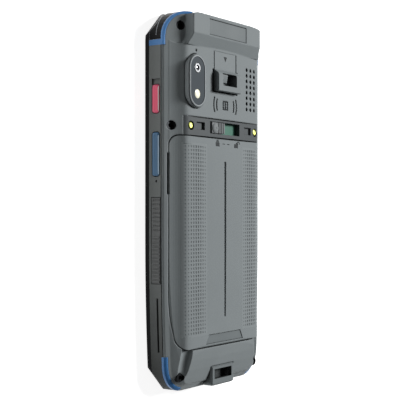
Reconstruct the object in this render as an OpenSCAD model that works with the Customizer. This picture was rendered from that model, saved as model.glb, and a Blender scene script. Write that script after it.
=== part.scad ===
// Rugged hand-held data terminal with a latched battery pack that swings out.
// It lies on its screen: X to the right seen from the back, Y towards the top end
// (the scanner), Z out of the back. Origin: centre of the front face. Millimetres.

/* [Body] */
// Width of the body over the side bands
body_w = 77; // [74:0.5:80]
// Length of the upper part, from the battery pack to the top end
upper_l = 54.1; // [52:0.1:58]
// Length of the lower end, below the battery pack
lower_l = 18.1; // [17:0.1:20]
// Height of the battery plateau above the front face
plateau_z = 16.5; // [16.2:0.1:17.5]
// How much narrower each side is at the bottom end
taper = 1.6; // [0.8:0.1:2.2]
// Corner radius of the body in plan
corner_r = 12; // [10:0.5:13]
// How far the scanner head stands above the plateau
head_rise = 1.8; // [1:0.1:2.4]

/* [Battery pack] */
// Length of the battery pack along the seam
pack_l = 94.3; // [92:0.1:97]
// Running gap around the pack
pack_gap = 0.3; // [0.25:0.05:0.4]
// Depth of the textured grip strips
strip_depth = 0.35; // [0.2:0.05:0.5]

/* [Keys] */
// How far the side keys stand out of the side band
key_proud = 0.4; // [0.3:0.05:0.6]
// Press travel of the side keys
key_travel = 0.4; // [0.3:0.05:0.5]
// Gap around each key
key_gap = 0.35; // [0.25:0.05:0.4]

/* [Straps] */
// Height of the upper strap anchor above the plateau
anchor_rise = 2.7; // [2:0.1:3.5]
// Height of the lower strap loop above the front face
loop_z = 15.3; // [14.8:0.1:16]

/* [Speaker] */
// Radius of each speaker hole
speaker_hole_r = 0.85; // [0.6:0.05:1]

/* [Hidden] */
$fn = 48;

body_l = lower_l + pack_l + upper_l;
half_w = body_w / 2;
half_l = body_l / 2;
big = 200;

// heights of the stack, from the front face up
glass_t = 1.0;
glass_z = 0.15;
front_top = 2.6;
panel_top = 2.9;
floor_top = 4.0;
band_top = 9.0;
seam_z = 9.4;
rise = plateau_z - seam_z;
wall = 2.4;
head_z = plateau_z + head_rise;

// battery bay, seen from the back
bay_x = half_w - 2.6;
bay_y0 = -half_l + lower_l;
bay_y1 = bay_y0 + pack_l;
shelf_z = 10.2;
tub_in = half_w - 6.5;
tray_x = tub_in - 0.4;
tub_out = tub_in + 1.5;
cell_x = half_w - 10;
board_x = half_w - 7;
tab_x = 17;
screen_x = half_w - 6;
screen_y0 = -half_l + 13.2;
screen_y1 = half_l - 11.2;
tub_floor = 7.0;
tub_under = 6.2;
tub_y0 = bay_y0 + 2.6;
tub_y1 = bay_y1 - 2.2;

// pack hinge line along its rounded lower edge
pivot_y = bay_y0 + pack_gap + 1.0;
pivot_z = plateau_z - 1.2;
pack_end = bay_y1 - 0.45;

// latch band above the pack
band_y0 = bay_y1;
band_y1 = bay_y1 + 8.4;
band_floor = 12.8;
band_in = 8.6;
latch_y = bay_y1 + 4.3;
latch_half = 12.0;
strip_in = 8.4;
strip_w = 15.21;
contact_x = -half_w + 12.7;
knob_x0 = -10.9;
knob_w = 10.0;
slot_floor = 14.0;

// boards
board_z = 5.6;
board_t = 1.0;
can_top = 8.6;
sub_z = 4.6;
sub_t = 0.8;

// places measured down from the top end
head_y0 = half_l - 14.3;
head_y1 = half_l - 9.4;
hook_y = half_l - 23.8;
cam_x = -half_w + 15.7;
cam_y = band_y1 + 15.5;
cam_half = 5.4;
cam_r = 6.4;
mic_y = cam_y + 13.6;
mark_y = band_y1 + 6.5;
speaker_x = half_w - 16.8;
speaker_l = head_y0 - band_y1 - 8.6;
speaker_y = band_y1 + 4.2 + speaker_l / 2;
speaker_pitch_x = 3.4;
speaker_pitch_y = 2.65;

// screws: [x, y, seat height]
screw_top = [half_w - 8.4, half_l - 6.5, seam_z + 1.9];
screw_mid = [half_w - 3.9, bay_y1 + 3.9, seam_z + 0.2];
screw_low = [half_w - 8.6, -half_l + 6.6, seam_z + 2.2];
screw_head_r = 1.9;
well_r = screw_head_r + 0.15;
lip_z = 8.2;

// side keys: [lower y, upper y]
key_z0 = 4.45;
key_z1 = 8.25;
key_round = 1.2;
power_y = [half_l - 23.6, half_l - 16.4];
red_y = [bay_y1 + 9.2, bay_y1 + 21.4];
red_pocket_y = red_y[1] + 2.6;
scan_y = [bay_y1 - 18.1, bay_y1 + 0.8];
volume_y = [bay_y1 + 10.8, power_y[0] - 3.7];
slit_y0 = bay_y0 - 0.2;
slit_l = 23.4;
grip_y1 = bay_y1 - 27.5;
grip_l = 37.1;

c_grey = [0.50, 0.53, 0.54];
c_band = [0.32, 0.335, 0.33];
c_black = [0.09, 0.095, 0.10];
c_blue = [0.22, 0.45, 0.72];
c_gold = [0.85, 0.75, 0.38];

function arc_pts(cx, cy, r, a0, a1, n) =
  [for (i = [0:n]) let (a = a0 + (a1 - a0) * i / n) [cx + r * cos(a), cy + r * sin(a)]];

function flip(p) = [for (i = [len(p) - 1:-1:0]) [-p[i][0], p[i][1]]];

// right half of the plan outline, from the top centre clockwise to the bottom centre
function plan_right(ix, iy, rt, rb, tp) =
  let (x0 = half_w - ix, x1 = half_w - tp - ix, yt = half_l - iy, yb = -half_l + iy,
       ys = -16, ye = yb + rb)
  concat(
    arc_pts(x0 - rt, yt - rt, rt, 90, 0, 9),
    [for (i = [0:5]) let (t = i / 6, y = ys + (ye - ys) * t) [x0 - tp * t * t, y]],
    arc_pts(x1 - rb, ye, rb, 0, -90, 9));

module plan(ix = 0, iy = 0, rt = corner_r, rb = corner_r) {
  right = plan_right(ix, iy, rt, rb, taper);
  polygon(concat(right, flip(right)));
}

// outline of the battery bay, drawn in by g on every side
module bay_plan(g = 0, top = 0) {
  x0 = bay_x - g;
  yt = bay_y1 - top;
  yb = bay_y0 + g;
  rt = 4.5;
  rb = 7.0;
  ys = bay_y0 + 27;
  xe = x0 - 2.3;
  right = concat(
    arc_pts(x0 - rt, yt - rt, rt, 90, 0, 6),
    [for (i = [0:5]) let (t = i / 6, y = ys + (yb + rb - ys) * t) [x0 - 2.3 * t * t, y]],
    arc_pts(xe - rb, yb + rb, rb, 0, -90, 8));
  polygon(concat(right, flip(right)));
}

// wedge that takes the front edge off a corner, steepest on the corner's diagonal
module corner_wedge(end, inset, r0, z1) {
  translate([-half_w + inset + corner_r, end * (half_l - corner_r), 0])
    rotate([0, 0, 180 - end * 45])
      along_y(-24, 24) polygon([[r0, -0.5], [corner_r + 0.05, z1], [30, z1], [30, -0.5]]);
}

module front_corner_cuts() {
  both_sides() {
    corner_wedge(1, 0, 8.6, 6.2);
    corner_wedge(-1, taper, 8.6, 5.2);
  }
}

// a slab between two heights
module slab(z0, z1) {
  translate([0, 0, z0]) linear_extrude(z1 - z0) children();
}

module box(x0, x1, y0, y1, z0, z1) {
  translate([x0, y0, z0]) cube([x1 - x0, y1 - y0, z1 - z0]);
}

// a profile in Y and Z drawn along X
module along_x(x0, x1) {
  translate([x0, 0, 0]) rotate([90, 0, 90]) linear_extrude(x1 - x0) children();
}

// a profile in X and Z drawn along Y
module along_y(y0, y1) {
  translate([0, y1, 0]) rotate([90, 0, 0]) linear_extrude(y1 - y0) children();
}

module both_sides() {
  children();
  mirror([1, 0, 0]) children();
}

// the crown: [distance in from the side, share of the rise]
crown_edge = [[-1, 0], [-1, 0.21], [1.8, 0.22], [2.6, 0.248], [3.6, 0.308], [4.6, 0.378],
  [5.6, 0.456], [6.6, 0.544], [7.6, 0.643], [8.6, 0.752], [9.2, 0.812], [9.9, 0.86],
  [10.8, 0.895], [12.3, 0.92], [14.5, 0.94], [18.5, 0.962], [28.5, 0.99]];
function crown_z(inset) = seam_z + rise * lookup(inset, [for (e = crown_edge) if (e[0] > 0) e]);

// crowned plateau with steep shoulders, as a profile across the body
module crown_profile() {
  right = [for (i = [len(crown_edge) - 1:-1:0])
    [half_w - crown_edge[i][0], seam_z + rise * crown_edge[i][1]]];
  polygon(concat([[0, plateau_z]], right, flip(right)));
}

// fall of the plateau towards the bottom end, as a profile along the body
module fall_profile() {
  fall = [[0, 0.12], [0.6, 0.27], [2.2, 0.42], [5.2, 0.585], [9.2, 0.765], [13.2, 0.89],
          [17.2, 0.972], [21, 1.03]];
  low = [for (p = fall) [-half_l + p[0], seam_z + rise * p[1]]];
  polygon(concat(low, [[half_l, seam_z + rise * 1.03], [half_l, seam_z - 1], [-half_l, seam_z - 1]]));
}

// rim bevel and flange that follow the plan outline
module rim_layer(z, ix, iy, less) {
  slab(seam_z + z, seam_z + z + 0.05) plan(ix, iy, corner_r - less, corner_r - less);
}

module rim_loft() {
  hull() {
    rim_layer(0, 0, 0, 0);
    rim_layer(0.7, 0.6, 0.8, 0.6);
  }
  hull() {
    rim_layer(0.7, 0.6, 0.8, 0.6);
    rim_layer(1.65, 2.7, 2.3, 2.4);
  }
  hull() {
    rim_layer(1.65, 2.7, 2.3, 2.4);
    rim_layer(2.75, 4.0, 2.8, 3.0);
  }
  hull() {
    rim_layer(2.75, 4.0, 2.8, 3.0);
    rim_layer(6.0, 8.0, 5.0, 5.0);
  }
  slab(seam_z + 6.0, plateau_z + 1) plan(8.0, 5.0, corner_r - 5.0, corner_r - 5.0);
}

// height of the sloping corner surface, by the distance in from the side
function pad_z(inset) = seam_z + 0.6 + 0.4 * inset;

// the space under the sloping corner surface, drawn along Y
module corner_under(y0, y1, low = seam_z) {
  along_y(y0, y1)
    polygon([[-half_w - 2, low - 3], [-half_w - 2, pad_z(-2)], [-half_w + 14.2, pad_z(14.2)],
             [-half_w + 14.2, low - 3]]);
}

// raised pad that carries the screw in each upper corner
module corner_pad() {
  intersection() {
    slab(seam_z, seam_z + 8) plan();
    corner_under(half_l - 15.6, half_l + 1);
  }
}

// what is cut away above the upper corner pad: a sloping floor, with a wall that
// runs beside the head and turns round the screw
module corner_relief() {
  turn_x = -half_w + 5.4;
  turn_y = half_l - 9.9;
  foot = 5.2;
  intersection() {
    along_y(half_l - 30, half_l + 1)
      polygon([[-half_w - 5, pad_z(-5)], [-half_w + 14, pad_z(14)],
               [-half_w + 14, seam_z + 10], [-half_w - 5, seam_z + 10]]);
    union() {
      translate([turn_x, turn_y, 0]) rotate_extrude()
        polygon([[0, seam_z - 2], [foot - 1.5, seam_z - 2], [foot - 0.9, seam_z + 2.6],
                 [foot - 0.3, seam_z + 3.7], [foot + 0.2, seam_z + 4.8],
                 [foot + 0.7, seam_z + 6.8], [foot + 1.2, seam_z + 10], [0, seam_z + 10]]);
      along_y(turn_y, half_l + 1)
        polygon([[-half_w - 5, seam_z - 2], [turn_x + foot - 1.5, seam_z - 2],
                 [turn_x + foot - 0.9, seam_z + 2.6], [turn_x + foot - 0.3, seam_z + 3.7],
                 [turn_x + foot + 0.2, seam_z + 4.8], [turn_x + foot + 0.7, seam_z + 6.8],
                 [turn_x + foot + 1.2, seam_z + 10], [-half_w - 5, seam_z + 10]]);
    }
  }
}

// ledge in each lower corner, from the pack to the screw: it goes on from the rim at the
// rim's slope and ends at a round wall
module lower_relief() {
  r = 3.4;
  slope = 20;
  a = [-half_w + 8.4, -half_l + 7.5, seam_z + 3.0 + r];
  b = [-half_w + 11.2, -half_l + 22, seam_z + 4.6 + r];
  d = b - a;
  translate(a) rotate([0, acos(d[2] / norm(d)), atan2(d[1], d[0])]) linear_extrude(norm(d)) {
    circle(r = r);
    polygon([for (q = [[-12, 0], [r, 0], [r, 12], [-12, 12]])
      [q[0] * cos(slope) - q[1] * sin(slope), q[0] * sin(slope) + q[1] * cos(slope)]]);
  }
}

module head_block() {
  along = [[head_y0, plateau_z - 2.2], [head_y0 - 0.4, plateau_z - 0.3], [head_y1, head_z],
           [half_l - 0.7, head_z], [half_l, head_z - 0.8], [half_l, seam_z + 0.4],
           [head_y0, seam_z + 0.4]];
  across = [[-half_w + 9.2, seam_z], [-half_w + 9.5, seam_z + 4.8], [-half_w + 10.3, head_z - 1.0],
            [-half_w + 10.7, head_z - 0.4], [-half_w + 11.4, head_z + 0.01]];
  intersection() {
    along_x(-half_w, half_w) polygon(along);
    along_y(head_y0 - 2, half_l + 1) polygon(concat(across, flip(across)));
    slab(seam_z, head_z + 1) plan(0, 0, corner_r + 6, corner_r);
  }
}

// whole outer form of the rear, before openings
module rear_form() {
  difference() {
    union() {
      intersection() {
        rim_loft();
        along_y(-half_l, half_l) crown_profile();
        along_x(-half_w, half_w) fall_profile();
      }
      both_sides() corner_pad();
      head_block();
    }
    both_sides() corner_relief();
    both_sides() lower_relief();
  }
}

// corner guard ring: the skin of each upper corner below the sloping surface
module corner_ring(low, drop, y0, inner = bumper_w, out = 0) {
  difference() {
    intersection() {
      slab(low, seam_z + 8) plan(-out, -out, corner_r + out, corner_r + out);
      translate([0, 0, -drop]) corner_under(y0, half_l + 2, low - 5);
      box(-half_w - 2, -half_w + 14.0, y0, half_l + 2, low, seam_z + 8);
    }
    slab(low - 1, seam_z + 9) plan(inner, inner, corner_r - inner, corner_r - inner);
  }
}

// lower corner guard: the skin of each lower corner over the rim
module lower_ring(low, high, x_in, y_top, inner, out = 0) {
  difference() {
    intersection() {
      slab(low, high) plan(-out, -out, corner_r + out, corner_r + out);
      box(-half_w - 2, -half_w + x_in, -half_l - 2, -half_l + y_top, low, high);
    }
    slab(low - 1, high + 1) plan(inner, inner, corner_r - inner, corner_r - inner);
  }
}

accent_y = half_l - 15.6;
bumper_y = accent_y + 2.4;
accent_w = 1.0;
accent_in = 1.2;
bumper_w = 1.7;
lower_drop = 1.0;
lower_accent_y = 16.0;
lower_accent_x = 12.5;

module upper_corner_space() {
  corner_ring(front_top, 0, accent_y, accent_in);
}

module upper_corner_cut() {
  corner_ring(front_top - 1, -4, accent_y, accent_in, 1);
  corner_ring(front_top - 1, accent_w, bumper_y, bumper_w, 1);
}

module lower_corner_cut() {
  lower_ring(seam_z - lower_drop, seam_z + 1.3, lower_accent_x, lower_accent_y, 1.6, 1);
}

module lower_corner_space() {
  intersection() {
    lower_corner_cut();
    rear_form();
  }
  lower_ring(seam_z - lower_drop, seam_z, lower_accent_x, lower_accent_y, 1.6);
}

// ---------------------------------------------------------------- front

module front_frame() {
  color(c_black) difference() {
    union() {
      hull() {
        slab(0, 0.05) plan(0.55, 0.55, corner_r + 0.4, corner_r);
        slab(0.55, 0.6) plan(0, 0, corner_r + 0.4, corner_r);
      }
      slab(0.6, front_top) plan(0, 0, corner_r, corner_r);
    }
    slab(-1, glass_z + glass_t) plan(3.2, 4.0, glass_r, glass_r);
    box(-screen_x, screen_x, screen_y0, screen_y1, 0, front_top + 1);
    box(-6, 6, front_eye_y - 0.9, front_eye_y + 0.9, 0, front_top + 1);
    translate([front_cam_x, front_eye_y, 0]) cylinder(r = front_cam_r, h = front_top + 1);
    front_corner_cuts();
  }
}

glass_r = 9.5;
front_eye_y = half_l - 6.3;
front_cam_x = 14;
front_cam_r = 2.1;

module touch_glass() {
  color([0.05, 0.055, 0.06]) difference() {
    slab(glass_z, glass_z + glass_t) plan(3.25, 4.05, glass_r, glass_r);
    box(-6, 6, front_eye_y - 0.9, front_eye_y + 0.9, 0, front_top);
  }
}

module display_panel() {
  color([0.12, 0.13, 0.15]) difference() {
    box(-screen_x + 0.2, screen_x - 0.2, screen_y0 + 0.3, screen_y1 - 0.3, glass_z + glass_t, panel_top);
    box(-screen_x + 2.5, screen_x - 2.5, screen_y0 - 1, screen_y0 + 6, panel_top - 0.5, panel_top + 1);
  }
}

module earpiece_grille() {
  color([0.2, 0.2, 0.2]) difference() {
    box(-6, 6, front_eye_y - 0.9, front_eye_y + 0.9, glass_z + 0.3, 2.4);
    for (i = [-5:5]) translate([i, front_eye_y, 0]) cylinder(r = 0.3, h = 3, $fn = 24);
  }
}

module front_camera() {
  color([0.06, 0.06, 0.07]) difference() {
    union() {
      translate([front_cam_x, front_eye_y, glass_z + glass_t]) cylinder(r = front_cam_r, h = 1.4);
      translate([front_cam_x, front_eye_y, 2.0]) cylinder(r = 1.5, h = panel_top - 2.0);
    }
    translate([front_cam_x, front_eye_y, glass_z]) cylinder(r = 0.9, h = 1.6);
  }
}

// ---------------------------------------------------------------- middle frame

// outline of a key in Y and Z, with round corners, grown by g
module key_outline(y, g = 0, z1 = key_z1) {
  r = key_round + g;
  polygon(concat(
    arc_pts(y[1] + g - r, z1 + g - r, r, 90, 0, 5), arc_pts(y[1] + g - r, key_z0 - g + r, r, 0, -90, 5),
    arc_pts(y[0] - g + r, key_z0 - g + r, r, -90, -180, 5), arc_pts(y[0] - g + r, z1 + g - r, r, 180, 90, 5)));
}

module key_window(y, side) {
  x = side < 0 ? -half_w - 1 : half_w - wall - 1;
  along_x(x, x + wall + 2) key_outline(y, key_gap);
}

post_r = 2.3;

module screw_posts() {
  both_sides() {
    for (s = [screw_top, screw_mid, screw_low])
      translate([s[0], s[1], floor_top - 0.5]) cylinder(r = post_r, h = lip_z - floor_top + 0.5);
  }
}

module mid_frame() {
  color(c_band) difference() {
    union() {
      difference() {
        slab(front_top, band_top) plan();
        slab(floor_top, band_top + 1)
          plan(wall, wall, corner_r - wall, corner_r - wall);
        slab(front_top - 1, panel_top) plan(4.6, 4.6, 9, 9);
      }
      intersection() {
        screw_posts();
        slab(0, band_top) plan(0.2, 0.2);
      }
      // ribs that carry the boards
      for (x = [-board_x + 3.5, board_x - 3.5]) for (y = [bay_y1 + 4.7, half_l - 9])
        translate([x, y, floor_top - 0.5]) cylinder(r = 2, h = board_z - floor_top + 0.5);
      for (x = [-20, 20]) translate([x, -half_l + 9.0, floor_top - 0.5])
        cylinder(r = 2, h = sub_z - floor_top + 0.5);
    }
    both_sides() lower_corner_cut();
    both_sides() upper_corner_cut();
    both_sides() screw_holes(floor_top - 0.4);
    // windows and pockets of the side keys
    key_window(red_y, -1);
    key_window(scan_y, -1);
    key_window(scan_y, 1);
    key_window(volume_y, 1);
    rocker_pins(rocker_pin_r + 0.1, key_z0 - 0.75, key_z1 + 0.75);
    key_window(power_y, 1);
    box(-half_w - 1, -half_w + 0.9, red_y[1], red_pocket_y, key_z0 - key_gap, key_z1 + key_gap);
    // shallow seats of the grip pads
    both_sides() box(-half_w - 1, -half_w + 0.6, grip_y1 - grip_l - 0.3, grip_y1 + 0.3, 3.7, 8.9);
    // side slit with a pinhole at its upper end
    both_sides() {
      intersection() {
        box(-half_w - 1, -half_w + 4, slit_y0, slit_y0 + slit_l, 6.4, 7.3);
        slab(6, 8) difference() {
          plan(-1, -1);
          plan(1.3, 1.3, corner_r - 1.3, corner_r - 1.3);
        }
      }
      translate([-half_w - 1, scan_y[0] - 2.2, 6.6]) rotate([0, 90, 0]) cylinder(r = 0.5, h = 1.6);
    }
    front_corner_cuts();
    // bottom connector
    box(-5.2, 5.2, -half_l - 1, -half_l + wall + 1, sub_z + sub_t - 0.3, sub_z + sub_t + 2.8);
  }
}

module screw_holes(z0) {
  for (s = [screw_top, screw_mid, screw_low])
    translate([s[0], s[1], z0]) cylinder(r = 0.8, h = 12);
}

module housing_gasket() {
  color([0.06, 0.06, 0.06]) difference() {
    slab(band_top, seam_z) difference() {
      plan(0.55, 0.55, corner_r - 0.5, corner_r - 0.5);
      plan(wall, wall, corner_r - wall, corner_r - wall);
    }
    both_sides() lower_corner_cut();
    both_sides() upper_corner_cut();
  }
}

// ---------------------------------------------------------------- rear housing

module screw_well(s) {
  translate([s[0], s[1], s[2]]) cylinder(r = well_r, h = 12);
  translate([s[0], s[1], 4]) cylinder(r = 1.0, h = 12);
}

module anchor_seat() {
  // pocket that takes the strap anchor and leaves a groove round it
  box(-9.1, 9.1, hook_y - 9.4, head_y0 - 0.9, plateau_z - 2.2, plateau_z + 3);
  box(-10.1, 10.1, hook_y - 9.9, hook_y + 0.6, plateau_z - 2.2, plateau_z + 3);
}

module contact_mark() {
  // wave mark: two arcs each side of a small tag
  translate([0, mark_y, plateau_z - 0.45]) {
    difference() {
      translate([-2.2, -2.1, 0]) cube([4.4, 4.2, 2]);
      translate([-1.5, -1.4, -1]) cube([3.0, 2.8, 4]);
    }
    translate([-0.35, -1.6, 0]) cube([0.7, 3.2, 2]);
    for (r = [7.0, 9.2]) intersection() {
      difference() {
        cylinder(r = r + 0.45, h = 2);
        translate([0, 0, -1]) cylinder(r = r - 0.45, h = 4);
      }
      translate([-12, -r * 0.38, -1]) cube([24, r * 0.76, 4]);
    }
  }
}

module rear_housing() {
  color(c_grey) difference() {
    union() {
      rear_form();
      // lip that drops inside the side band
      slab(lip_z, seam_z) plan(wall, wall, corner_r - wall, corner_r - wall);
      // tub under the battery pack
      box(-tub_out, tub_out, tub_y0 - 1.5, tub_y1 + 1.5, tub_under, seam_z);
      for (x = [-tab_x, tab_x]) box(x - 5, x + 5, bay_y0 - 3.8, tub_y0, tub_under, seam_z);
    }
    both_sides() upper_corner_cut();
    both_sides() lower_corner_cut();
    // bay for the pack
    slab(shelf_z, plateau_z + 3) bay_plan();
    box(-tub_in, tub_in, tub_y0, tub_y1, tub_floor, plateau_z);
    // room for the two lower tabs of the pack
    for (x = [-tab_x, tab_x]) box(x - 4, x + 4, bay_y0 - 2.6, tub_y0 + 1, tub_floor, 11.6);
    // window for the battery connector
    box(-8.2, 8.2, tub_y1 - 9.2, tub_y1 - 2.8, tub_under - 1, tub_floor + 1);
    // seat of the latch band
    box(-half_w + band_in, half_w - band_in, band_y0 - 1, band_y1, band_floor, plateau_z + 3);
    // hollow of the upper part
    box(-tray_x, tray_x, bay_y1 + 1.8, half_l - 10.4, 7, 11.0);
    box(-cell_x + 0.5, cell_x - 0.5, band_y1 + 1.2, head_y0, 7, plateau_z - 3.9);
    both_sides() box(-cell_x + 0.5, -10.9, band_y1 + 1.2, head_y0, 7, plateau_z - 2.3);
    box(-half_w + 15.5, half_w - 15.5, head_y0 + 0.4, half_l - 3.4, 7, head_z - 2.3);
    box(-12, 12, half_l - 4, half_l + 1, seam_z + 0.8, head_z - 2.9);
    box(-13.5, 13.5, half_l - 2.0, half_l + 1, seam_z + 0.4, head_z - 2.3);
    // hollow of the lower end
    box(-half_w + 12.5, half_w - 12.5, -half_l + 3.4, bay_y0 - 4.2, 7, seam_z);
    anchor_seat();
    contact_mark();
    // camera island
    slab(7, plateau_z + 3) hull() {
      for (s = [-1, 1]) translate([cam_x, cam_y + s * cam_half]) circle(r = cam_r - 1.3);
    }
    slab(plateau_z - 1.6, plateau_z + 3) hull() {
      for (s = [-1, 1]) translate([cam_x, cam_y + s * cam_half]) circle(r = cam_r + 0.35);
    }
    translate([cam_x + 0.5, mic_y, 7]) cylinder(r = 0.6, h = 14);
    // speaker holes
    for (i = [-1:1]) for (j = [0:7])
      translate([speaker_x + i * speaker_pitch_x, speaker_y + (j - 3.5) * speaker_pitch_y, 7])
        cylinder(r = speaker_hole_r, h = 14, $fn = 24);
    // recess of the bare label plate
    box(-15, 15, head_y1 + 0.6, half_l - 1.8, head_z - 0.5, head_z + 1);
    // screw wells
    both_sides() {
      screw_well(screw_top);
      screw_well(screw_mid);
      screw_well(screw_low);
      // pry slot beside the pack
      box(-bay_x - 0.6, -bay_x + 1, bay_y1 - 26, bay_y1 - 8, shelf_z - 0.8, plateau_z);
    }
    // seat of the lower strap loop
    slab(seam_z + 1.2, plateau_z + 2) loop_plan(0.1);
  }
}

module housing_screws() {
  color([0.12, 0.12, 0.13]) both_sides() for (s = [screw_top, screw_mid, screw_low])
    translate([s[0], s[1], s[2]]) difference() {
      union() {
        cylinder(r = screw_head_r, h = 1.2);
        translate([0, 0, -4.9]) cylinder(r = 0.78, h = 5.3);
      }
      translate([0, 0, 0.5]) cylinder(r = 1.0, h = 2, $fn = 6);
    }
}

// ---------------------------------------------------------------- corner guards

module bumper() {
  color([0.07, 0.075, 0.08]) difference() {
    corner_ring(front_top, accent_w, bumper_y);
    front_corner_cuts();
  }
}

module bumper_left() { bumper(); }

module bumper_right() { mirror([1, 0, 0]) bumper(); }

module accent_upper() {
  color(c_blue) difference() {
    upper_corner_space();
    corner_ring(front_top - 1, accent_w, bumper_y, 3.0, 1);
    front_corner_cuts();
  }
}

module accent_upper_left() { accent_upper(); }

module accent_upper_right() { mirror([1, 0, 0]) accent_upper(); }

module accent_lower_left() { color(c_blue) lower_corner_space(); }

module accent_lower_right() { mirror([1, 0, 0]) color(c_blue) lower_corner_space(); }

module side_grip() {
  y1 = grip_y1;
  y0 = grip_y1 - grip_l;
  color([0.25, 0.26, 0.26]) {
    box(-half_w, -half_w + 0.6, y0, y1, 4.0, 8.6);
    for (i = [0:7]) for (j = [0:3])
      translate([-half_w - 0.25, y1 - 1.0 - i * 1.85, 4.7 + j * 1.07]) rotate([0, 90, 0])
        cylinder(r1 = 0.28, r2 = 0.45, h = 0.3, $fn = 16);
    for (i = [0:12]) box(-half_w - 0.25, -half_w + 0.1, y0 + 0.4 + i * 1.6, y0 + 1.2 + i * 1.6, 4.3, 8.3);
  }
}

module side_grip_left() { side_grip(); }

module side_grip_right() { mirror([1, 0, 0]) side_grip(); }

// ---------------------------------------------------------------- side keys

// outer part of a side key: a face with round corners that slopes back along both long edges
module key_face(y, x_in) {
  x0 = -half_w - key_proud;
  e = 0.9 * key_proud;
  intersection() {
    along_x(x0, x_in) key_outline(y);
    along_y(y[0], y[1]) polygon([[x0, key_z0 + 0.95], [x0 + e, key_z0], [x_in, key_z0],
      [x_in, key_z1], [x0 + e, key_z1], [x0, key_z1 - 0.95]]);
  }
}

module side_key(y, flange_low, flange_high) {
  h = key_z1 - key_z0;
  neck_z1 = lip_z - 0.2;
  difference() {
    union() {
      key_face(y, -half_w + 1.4);
      along_x(-half_w + 1.3, -half_w + wall + 0.2) key_outline(y, 0, neck_z1);
      box(-half_w + wall + 0.15, -half_w + wall + 0.75, y[0] - flange_low, y[1] + flange_high,
          key_z0, neck_z1);
    }
    // bevelled ends
    for (e = y) translate([-half_w - key_proud, e, key_z0 + h / 2]) rotate([0, 0, 45])
      cube([0.7, 0.7, big], center = true);
  }
}

module function_key() {
  color([0.86, 0.24, 0.36]) side_key(red_y, 0.8, 0.8);
}

module scan_key_left() {
  color([0.25, 0.42, 0.60]) side_key(scan_y, 0.8, 0.3);
}

module scan_key_right() {
  mirror([1, 0, 0]) color([0.25, 0.42, 0.60]) side_key(scan_y, 0.8, 0.3);
}

rocker_pin_r = 0.6;
rocker_y = (volume_y[0] + volume_y[1]) / 2;

module rocker_pins(r, z0, z1) {
  translate([half_w - 1.3, rocker_y, z0]) cylinder(r = r, h = z1 - z0);
}

module volume_rocker() {
  color([0.2, 0.2, 0.21]) {
    mirror([1, 0, 0]) difference() {
      union() {
        key_face(volume_y, -half_w + 1.6);
        along_x(-half_w + 1.5, -half_w + wall) key_outline(volume_y, 0, lip_z - 0.2);
      }
      // waist between the two ends
      box(-half_w - 1, -half_w + 0.1, rocker_y - 1.6, rocker_y + 1.6, 0, 20);
    }
    rocker_pins(rocker_pin_r, key_z0 - 0.65, key_z1 + 0.65);
  }
}

module power_key() {
  mirror([1, 0, 0]) color([0.2, 0.2, 0.21]) side_key(power_y, 0.8, 0.8);
}

// a thin switch board with one dome behind each key
module key_board(domes, y0, y1) {
  color([0.15, 0.32, 0.22]) difference() {
    union() {
      box(-tub_out - 0.6, -tub_out, y0, y1, floor_top, lip_z - 0.2);
      // each dome stops short of its key by the key's travel
      for (y = domes) translate([-half_w + wall + 0.8 + key_travel, y, 6.2]) rotate([0, 90, 0])
        cylinder(r = 1.5, h = half_w - tub_out - wall - 1.3 - key_travel);
    }
    translate([-screw_mid[0], screw_mid[1], 0]) cylinder(r = post_r + 0.2, h = 20);
  }
}

module key_board_left() {
  key_board([(red_y[0] + red_y[1]) / 2, (scan_y[0] + scan_y[1]) / 2], scan_y[0] - 2, red_y[1] + 1);
}

module key_board_right() {
  mirror([1, 0, 0]) key_board([(power_y[0] + power_y[1]) / 2, volume_y[0] + 3, volume_y[1] - 3,
    (scan_y[0] + scan_y[1]) / 2], scan_y[0] - 2, power_y[1]);
}

// ---------------------------------------------------------------- camera

module pill(r, z0, z1) {
  slab(z0, z1) hull() {
    for (s = [-1, 1]) translate([cam_x, cam_y + s * cam_half]) circle(r = r);
  }
}

module camera_bezel() {
  color([0.45, 0.47, 0.49]) difference() {
    union() {
      pill(cam_r, plateau_z - 1.6, plateau_z + 0.7);
      pill(cam_r - 0.35, plateau_z + 0.7, plateau_z + 1.0);
    }
    pill(cam_r - 1.1, plateau_z - 2, plateau_z + 2);
  }
}

module camera_window() {
  color([0.20, 0.23, 0.26]) difference() {
    pill(cam_r - 1.1, plateau_z - 1.2, plateau_z + 0.8);
    translate([cam_x, cam_y + 5.7, plateau_z - 3]) cylinder(r = 2.3, h = 6);
    translate([cam_x, cam_y - 5.7, plateau_z - 3]) cylinder(r = 2.0, h = 6);
  }
}

module camera_lens() {
  color([0.75, 0.77, 0.8]) translate([cam_x, cam_y + 5.7, plateau_z - 1.2]) difference() {
    cylinder(r = 2.3, h = 2.1);
    translate([0, 0, 1.5]) cylinder(r1 = 0.9, r2 = 1.5, h = 0.7);
  }
}

module flash_lens() {
  color([0.95, 0.92, 0.75]) translate([cam_x, cam_y - 5.7, plateau_z - 1.2]) {
    cylinder(r = 2.0, h = 1.9);
    translate([0, 0, 1.9]) cylinder(r1 = 2.0, r2 = 1.3, h = 0.2);
  }
}

module camera_module() {
  color([0.1, 0.1, 0.11]) {
    box(cam_x - 4.2, cam_x + 4.2, cam_y - 9, cam_y + 9, can_top, plateau_z - 2.4);
    translate([cam_x, cam_y + 5.7, 10]) cylinder(r = 3.4, h = plateau_z - 11.2);
    translate([cam_x, cam_y - 5.7, 10]) cylinder(r = 2.6, h = plateau_z - 11.2);
  }
}

// ---------------------------------------------------------------- strap fittings

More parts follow.
